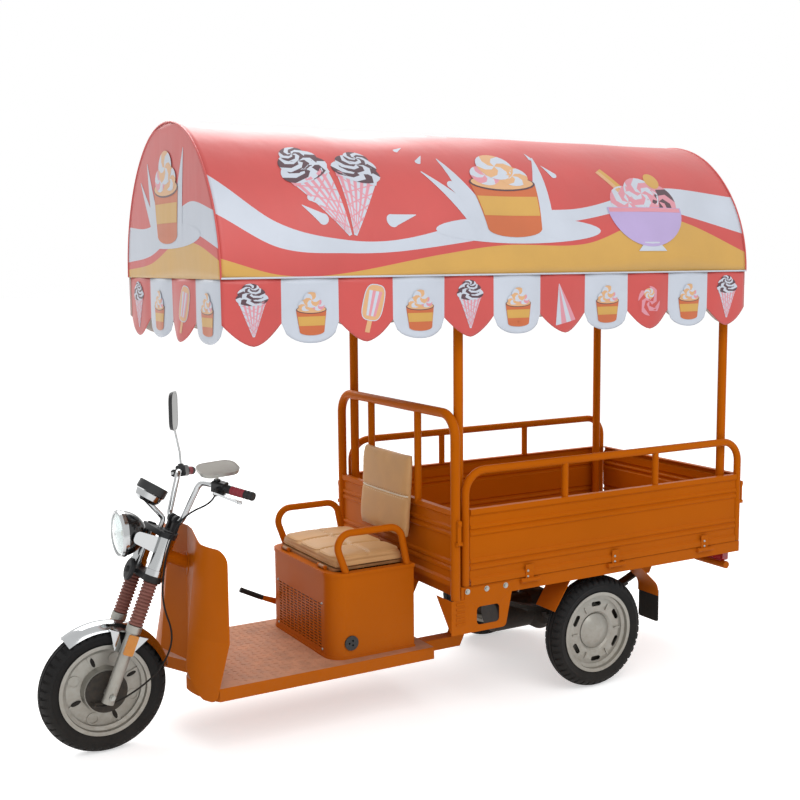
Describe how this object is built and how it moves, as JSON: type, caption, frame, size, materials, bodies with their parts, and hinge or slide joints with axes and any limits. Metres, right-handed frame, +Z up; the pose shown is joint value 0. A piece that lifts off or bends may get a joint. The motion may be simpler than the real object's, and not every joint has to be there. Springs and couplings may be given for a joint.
{
  "type": "electric cargo tricycle with canopy",
  "caption": "Electric cargo tricycle for street food: sprung front fork, bench seat, drop-side cargo box and a vaulted cloth canopy with scalloped valance on posts.",
  "frame": {"origin": "on the ground below the middle of the bounding box", "axes": "+X forward, +Y to the rider's left, +Z up"},
  "size_m": [3.0244, 1.03, 2.321],
  "materials": {
    "orange_paint": "gloss paint",
    "checker_plate": "worn paint on checker plate",
    "black_paint": "black paint",
    "beige_vinyl": "quilted vinyl",
    "plywood": "sealed board",
    "black_plastic": "moulded",
    "canopy_cloth": "coated cloth",
    "black_rubber": "moulded rubber",
    "maroon_rubber": "moulded rubber",
    "tyre_rubber": "tread",
    "silver_wheel": "silver",
    "bright_chrome": "polished",
    "bare_steel": "zinc",
    "lamp_glass": "clear",
    "red_lens": "clear red",
    "amber_lens": "amber",
    "mirror_head": "mirror in black housing"
  },
  "bodies": {
    "frame": {"chassis_frame": "orange_paint", "floorboard": "checker_plate", "leg_shield": "orange_paint", "seat_box": "orange_paint", "vent_panel": "orange_paint", "charge_socket": "black_plastic", "batteries_and_controller": "black_plastic", "armrests": "orange_paint", "backrest_cushion": "beige_vinyl", "cargo_bed": "orange_paint", "headboard": "orange_paint", "canopy_posts": "orange_paint", "canopy_frame": "orange_paint", "canopy_cover": "canopy_cloth", "canopy_valance": "canopy_cloth", "skirts": "orange_paint", "mudguards": "orange_paint", "mud_flaps": "black_rubber", "tail_lamps": "red_lens", "leaf_springs": "black_paint"},
    "rear_axle_body": {"rear_axle": "black_paint"},
    "rear_left_wheel_body": {"rear_left_wheel": "silver_wheel", "rear_left_tyre": "tyre_rubber"},
    "rear_right_wheel_body": {"rear_right_wheel": "silver_wheel", "rear_right_tyre": "tyre_rubber"},
    "left_side": {"left_side_panel": "orange_paint", "left_side_rail": "orange_paint"},
    "right_side": {"right_side_panel": "orange_paint", "right_side_rail": "orange_paint"},
    "tailgate_body": {"tailgate": "orange_paint"},
    "front_left_latch_body": {"front_left_latch": "bare_steel"},
    "front_right_latch_body": {"front_right_latch": "bare_steel"},
    "rear_left_latch_body": {"rear_left_latch": "bare_steel"},
    "rear_right_latch_body": {"rear_right_latch": "bare_steel"},
    "seat_lid": {"seat_base": "plywood", "seat_cushion": "beige_vinyl"},
    "parking_brake": {"parking_brake_lever": "black_paint"},
    "pedal": {"brake_pedal": "black_paint"},
    "steering": {"fork_yokes": "bright_chrome", "fork_covers": "bright_chrome", "fork_gaiters": "maroon_rubber", "headlamp_shell": "black_plastic", "headlamp_lens": "lamp_glass", "speedometer": "bright_chrome", "handlebar": "bright_chrome", "grip_and_switches": "black_plastic", "horn": "black_paint", "front_brake_cable": "black_rubber"},
    "horn_button_body": {"horn_button": "black_plastic"},
    "throttle": {"throttle_grip": "black_rubber"},
    "left_lever": {"left_brake_lever": "bright_chrome"},
    "right_lever": {"right_brake_lever": "bright_chrome"},
    "left_mirror_body": {"left_mirror": "mirror_head"},
    "right_mirror_body": {"right_mirror": "mirror_head"},
    "fork_lower": {"fork_sliders": "silver_wheel", "front_fender": "bright_chrome", "front_axle": "bare_steel", "reflectors": "amber_lens"},
    "front_wheel_body": {"front_wheel": "silver_wheel", "front_tyre": "tyre_rubber"}
  },
  "joints": [
    {"name": "steering_turn", "type": "hinge", "parent": "frame", "child": "steering", "pos_m": [1.02834, 0, 0.7151], "axis": [-0.3811, 0, 0.9245], "range_deg": [-32, 32]},
    {"name": "fork_travel", "type": "slide", "parent": "steering", "child": "fork_lower", "axis": [-0.3811, 0, 0.9245], "range_m": [-0.02, 0.08], "stiffness_N_per_m": 16000, "springref_m": -0.0395, "deforming": ["fork_gaiters", "front_brake_cable"]},
    {"name": "front_wheel_spin", "type": "hinge", "parent": "fork_lower", "child": "front_wheel_body", "pos_m": [1.27325, 0, 0.239], "axis": [0, 1, 0], "continuous": true},
    {"name": "rear_axle_travel", "type": "slide", "parent": "frame", "child": "rear_axle_body", "axis": [0, 0, 1], "range_m": [-0.03, 0.045], "stiffness_N_per_m": 60000, "springref_m": -0.0356, "deforming": ["leaf_springs"]},
    {"name": "rear_left_wheel_spin", "type": "hinge", "parent": "rear_axle_body", "child": "rear_left_wheel_body", "pos_m": [-0.72275, 0.405, 0.239], "axis": [0, 1, 0], "continuous": true},
    {"name": "rear_right_wheel_spin", "type": "hinge", "parent": "rear_axle_body", "child": "rear_right_wheel_body", "pos_m": [-0.72275, -0.405, 0.239], "axis": [0, 1, 0], "continuous": true},
    {"name": "left_side_drop", "type": "hinge", "parent": "frame", "child": "left_side", "pos_m": [-0.75475, 0.496, 0.538], "axis": [-1, 0, 0], "range_deg": [0, 172]},
    {"name": "right_side_drop", "type": "hinge", "parent": "frame", "child": "right_side", "pos_m": [-0.75475, -0.496, 0.538], "axis": [1, 0, 0], "range_deg": [0, 172]},
    {"name": "tailgate_drop", "type": "hinge", "parent": "frame", "child": "tailgate_body", "pos_m": [-1.50175, 0, 0.538], "axis": [0, -1, 0], "range_deg": [0, 172]},
    {"name": "front_left_latch_turn", "type": "hinge", "parent": "frame", "child": "front_left_latch_body", "pos_m": [0.01625, 0.501, 0.72616], "axis": [-1, 0, 0], "range_deg": [0, 110]},
    {"name": "front_right_latch_turn", "type": "hinge", "parent": "frame", "child": "front_right_latch_body", "pos_m": [0.01625, -0.501, 0.72616], "axis": [1, 0, 0], "range_deg": [0, 110]},
    {"name": "rear_left_latch_turn", "type": "hinge", "parent": "left_side", "child": "rear_left_latch_body", "pos_m": [-1.50275, 0.474, 0.72616], "axis": [0, -1, 0], "range_deg": [0, 110]},
    {"name": "rear_right_latch_turn", "type": "hinge", "parent": "right_side", "child": "rear_right_latch_body", "pos_m": [-1.50275, -0.474, 0.72616], "axis": [0, -1, 0], "range_deg": [0, 110]},
    {"name": "seat_lid_lift", "type": "hinge", "parent": "frame", "child": "seat_lid", "pos_m": [0.44225, 0, 0.627], "axis": [0, 1, 0], "range_deg": [0, 85]},
    {"name": "parking_brake_pull", "type": "hinge", "parent": "frame", "child": "parking_brake", "pos_m": [0.40125, -0.301, 0.352], "axis": [0, -1, 0], "range_deg": [0, 35]},
    {"name": "brake_pedal_press", "type": "hinge", "parent": "frame", "child": "pedal", "pos_m": [0.79125, -0.18, 0.299], "axis": [0, 1, 0], "range_deg": [0, 18], "stiffness_Nm_per_rad": 20, "springref_deg": -11.46},
    {"name": "horn_button_press", "type": "slide", "parent": "steering", "child": "horn_button_body", "axis": [0.8275, 0.5495, -0.1154], "range_m": [0, 0.003], "stiffness_N_per_m": 600, "springref_m": -0.002},
    {"name": "throttle_twist", "type": "hinge", "parent": "steering", "child": "throttle", "pos_m": [0.78819, -0.32, 0.96607], "axis": [-0.5615, -0.8098, -0.1701], "range_deg": [0, 70], "stiffness_Nm_per_rad": 0.4, "springref_deg": -11.46},
    {"name": "left_brake_squeeze", "type": "hinge", "parent": "steering", "child": "left_lever", "pos_m": [0.89624, 0.23264, 0.97829], "axis": [0, 0.2055, 0.9787], "range_deg": [0, 15], "stiffness_Nm_per_rad": 8, "springref_deg": -5.73},
    {"name": "right_brake_squeeze", "type": "hinge", "parent": "steering", "child": "right_lever", "pos_m": [0.89624, -0.23264, 0.97829], "axis": [0, 0.2055, -0.9787], "range_deg": [0, 15], "stiffness_Nm_per_rad": 8, "springref_deg": -5.73},
    {"name": "left_mirror_swivel", "type": "hinge", "parent": "steering", "child": "left_mirror_body", "pos_m": [0.87662, 0.19821, 1.02026], "axis": [0, 0.2055, 0.9787], "range_deg": [-40, 40]},
    {"name": "right_mirror_swivel", "type": "hinge", "parent": "steering", "child": "right_mirror_body", "pos_m": [0.87662, -0.19821, 1.02026], "axis": [0, -0.2055, 0.9787], "range_deg": [-40, 40]}
  ]
}
